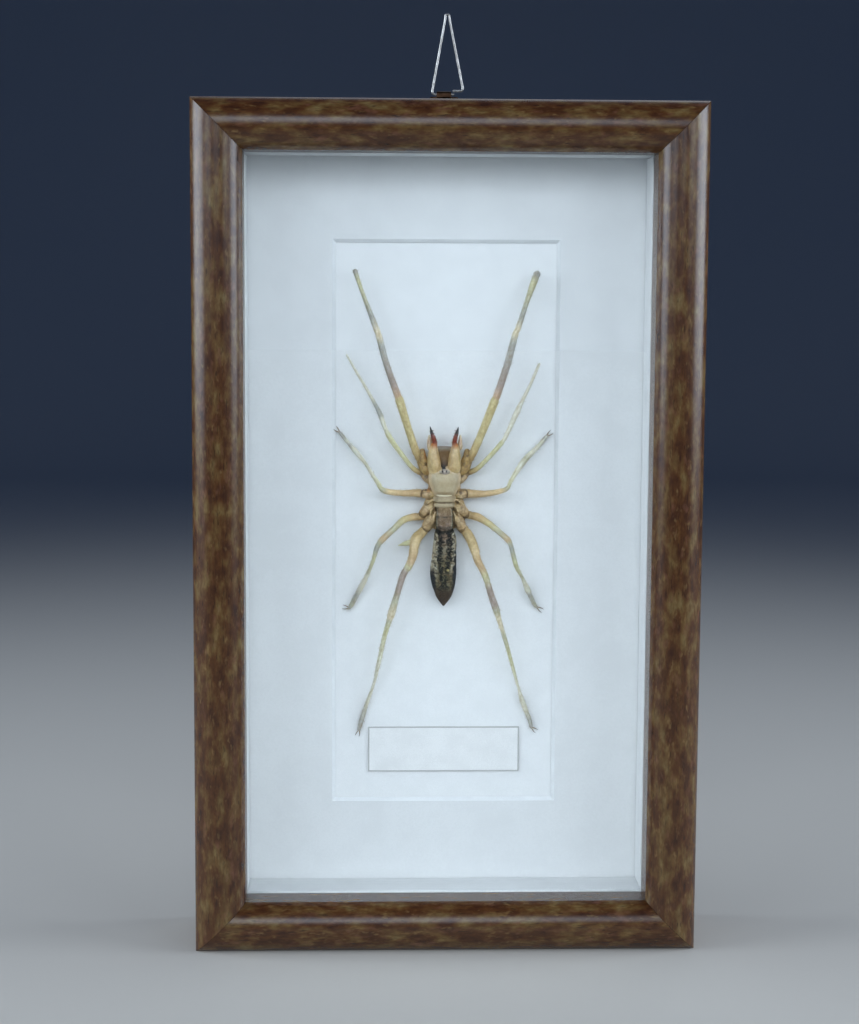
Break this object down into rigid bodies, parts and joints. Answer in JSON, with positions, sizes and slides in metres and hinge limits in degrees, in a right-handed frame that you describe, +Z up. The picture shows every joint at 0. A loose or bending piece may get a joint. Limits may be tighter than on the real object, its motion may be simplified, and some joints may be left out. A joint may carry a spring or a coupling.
{
  "type": "framed camel spider specimen",
  "caption": "Dried camel spider spread on a white card in a deep glazed wooden frame, with a window mat, a blank label card and a swinging wire hanging ring.",
  "frame": {"origin": "under the middle of the frame, on the surface its bottom edge stands on", "axes": "+X to the viewer's right seen from the front, +Y towards the wall, +Z up the frame"},
  "size_m": [0.15, 0.0402, 0.2806],
  "materials": {
    "wood_moulding": "brown lacquered wood",
    "glass": "clear picture glass",
    "foam_board": "matt white board",
    "mat_board": "matt white mat board",
    "mount_card": "matt white card",
    "label_paper": "matt off-white paper",
    "hardboard": "bare brown hardboard",
    "zinc_steel": "dull zinc-plated steel",
    "bronzed_steel": "dark bronzed steel",
    "bright_wire": "bright drawn wire",
    "shield": "grey-beige dried cuticle",
    "cuticle": "khaki dried cuticle",
    "pale_cuticle": "pale green dried cuticle",
    "jaw": "hard tan cuticle, dark at the tips",
    "tergite": "grey and near-black dried cuticle"
  },
  "bodies": {
    "frame": {"frame_bottom": "wood_moulding", "frame_top": "wood_moulding", "frame_left": "wood_moulding", "frame_right": "wood_moulding", "glass_pane": "glass", "spacer_bottom": "foam_board", "spacer_top": "foam_board", "spacer_left": "foam_board", "spacer_right": "foam_board", "window_mat": "mat_board", "mount_card": "mount_card", "name_label": "label_paper", "back_board": "hardboard", "point_bottom": "zinc_steel", "point_top": "zinc_steel", "point_left_lower": "zinc_steel", "point_left_upper": "zinc_steel", "point_right_lower": "zinc_steel", "point_right_upper": "zinc_steel", "hanger_plate": "bronzed_steel", "hanger_screw_left": "bronzed_steel", "hanger_screw_right": "bronzed_steel", "prosoma": "shield", "abdomen": "tergite", "chelicera_left": "jaw", "chelicera_right": "jaw", "pedipalp_left": "cuticle", "pedipalp_right": "cuticle", "leg_1_left": "pale_cuticle", "leg_1_right": "pale_cuticle", "leg_2_left": "pale_cuticle", "leg_2_right": "pale_cuticle", "leg_3_left": "pale_cuticle", "leg_3_right": "pale_cuticle", "leg_4_left": "cuticle", "leg_4_right": "cuticle"},
    "ring": {"hanger_ring": "bright_wire"}
  },
  "joints": [
    {"name": "ring_swing", "type": "hinge", "parent": "frame", "child": "ring", "pos_m": [0, 0.01915, 0.2564], "axis": [1, 0, 0], "range_deg": [-170, 95]}
  ]
}
